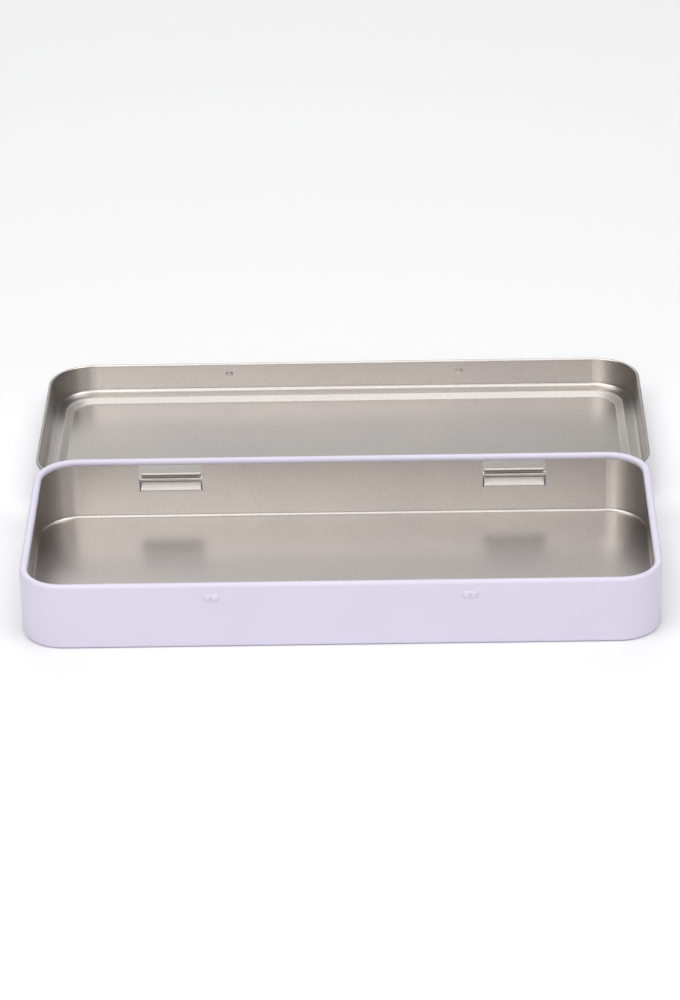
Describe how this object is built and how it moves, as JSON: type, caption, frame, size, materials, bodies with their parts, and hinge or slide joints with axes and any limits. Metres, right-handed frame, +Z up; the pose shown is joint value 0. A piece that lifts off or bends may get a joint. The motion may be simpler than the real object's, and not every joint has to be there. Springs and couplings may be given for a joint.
{
  "type": "hinged pencil tin",
  "caption": "Flat pressed-sheet pencil tin, open: a drawn tray with a rolled rim and a shallow lid on wire-pin hinges, lying on its back behind the tray.",
  "frame": {"origin": "middle of the tray's flat underside, on the surface that the tin stands on", "axes": "+X to the right along the tin's length, the tray's front faces -Y and the lid lies towards +Y, +Z up"},
  "size_m": [0.1936, 0.1692, 0.021],
  "materials": {
    "tray_sheet": "satin off-white enamel with a faint lavender tint outside and on the rolled rim, bare stone-finish tinplate inside",
    "lid_sheet": "bare stone-finish tinplate inside and on the curled edge, satin off-white enamel outside",
    "pin_wire": "drawn steel wire"
  },
  "bodies": {
    "tray": {"base_tray": "tray_sheet", "hinge_pin_left": "pin_wire", "hinge_pin_right": "pin_wire"},
    "lid": {"lid_shell": "lid_sheet"}
  },
  "joints": [
    {"name": "lid_hinge", "type": "hinge", "parent": "tray", "child": "lid", "pos_m": [0, 0.04255, 0.01245], "axis": [1, 0, 0], "range_deg": [0, 181.55]}
  ]
}
